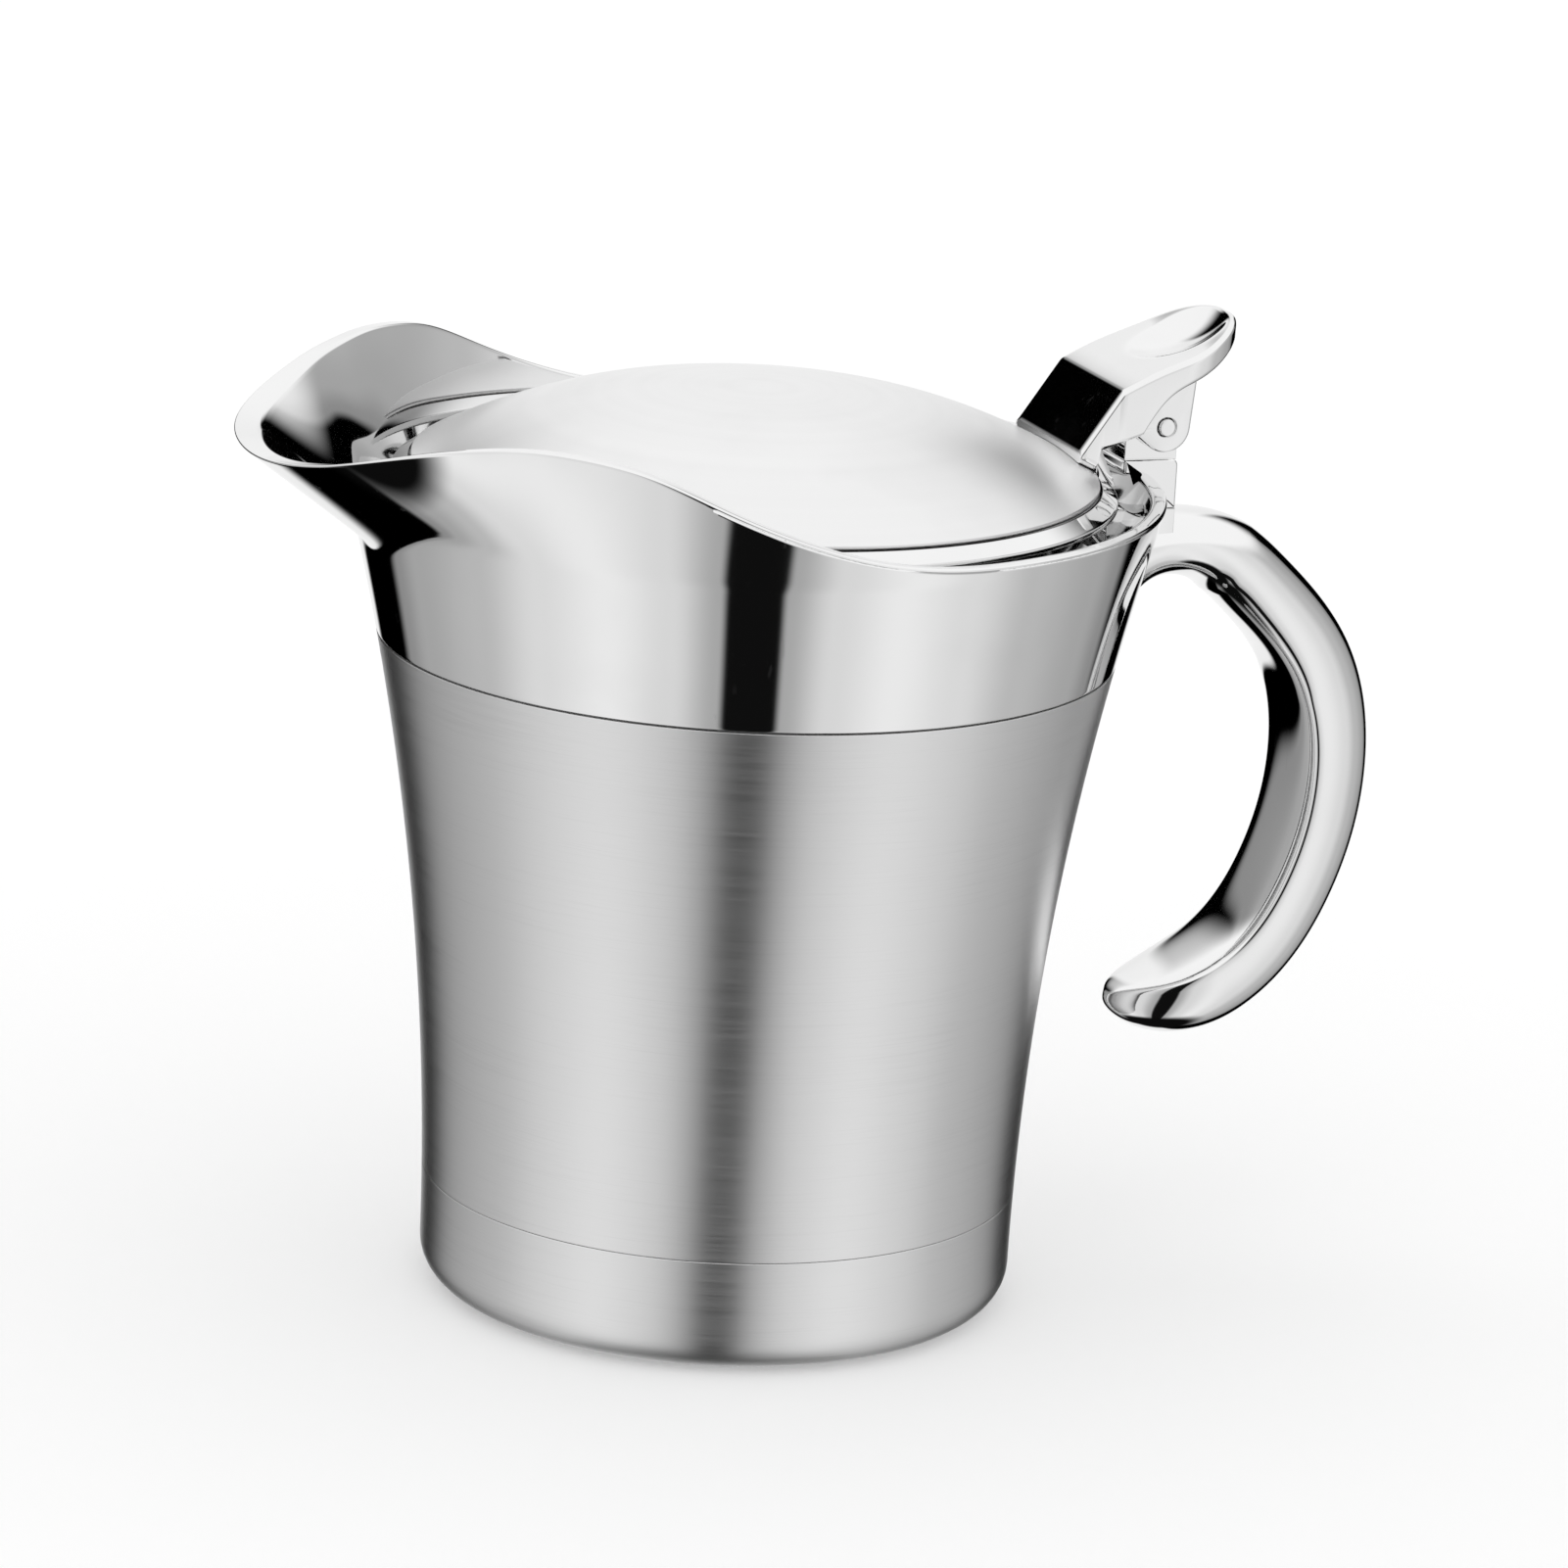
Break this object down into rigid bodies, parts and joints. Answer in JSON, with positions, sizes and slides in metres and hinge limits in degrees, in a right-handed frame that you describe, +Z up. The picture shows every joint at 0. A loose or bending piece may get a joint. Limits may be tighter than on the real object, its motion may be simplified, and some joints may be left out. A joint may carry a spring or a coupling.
{
  "type": "insulated sauce server",
  "caption": "Insulated sauce server: double-walled flared steel jug with a spouted mirror collar, an open hook handle and a domed lid hinged on a thumb lever.",
  "frame": {"origin": "on the body's axis, in the plane the base stands on", "axes": "+Z up along the body's axis; +X towards the handle and the lid's hinge; -X towards the spout"},
  "size_m": [0.1531, 0.1032, 0.1261],
  "materials": {
    "brushed_body": "stainless steel, fine level brushing round the body",
    "brushed_base": "stainless steel, fine level brushing round the cup",
    "satin_liner": "stainless steel, satin drawn well",
    "mirror_collar": "stainless steel, mirror polished",
    "mirror_lid": "stainless steel, mirror polished",
    "mirror_pan": "stainless steel, polished",
    "steel_pin": "stainless steel, turned",
    "mirror_hinge": "cast stainless steel, mirror polished",
    "mirror_lever": "cast stainless steel, mirror polished",
    "mirror_handle": "cast stainless steel, mirror polished"
  },
  "bodies": {
    "jug": {"base_cup": "brushed_base", "outer_body": "brushed_body", "inner_liner": "satin_liner", "spout_collar": "mirror_collar", "handle": "mirror_handle", "hinge_bracket": "mirror_hinge", "hinge_pin": "steel_pin"},
    "lid": {"lid_dome": "mirror_lid", "lid_pan": "mirror_pan", "thumb_lever": "mirror_lever"}
  },
  "joints": [
    {"name": "lid_hinge", "type": "hinge", "parent": "jug", "child": "lid", "pos_m": [0.05228, 0, 0.1124], "axis": [0, 1, 0], "range_deg": [0, 75]}
  ]
}
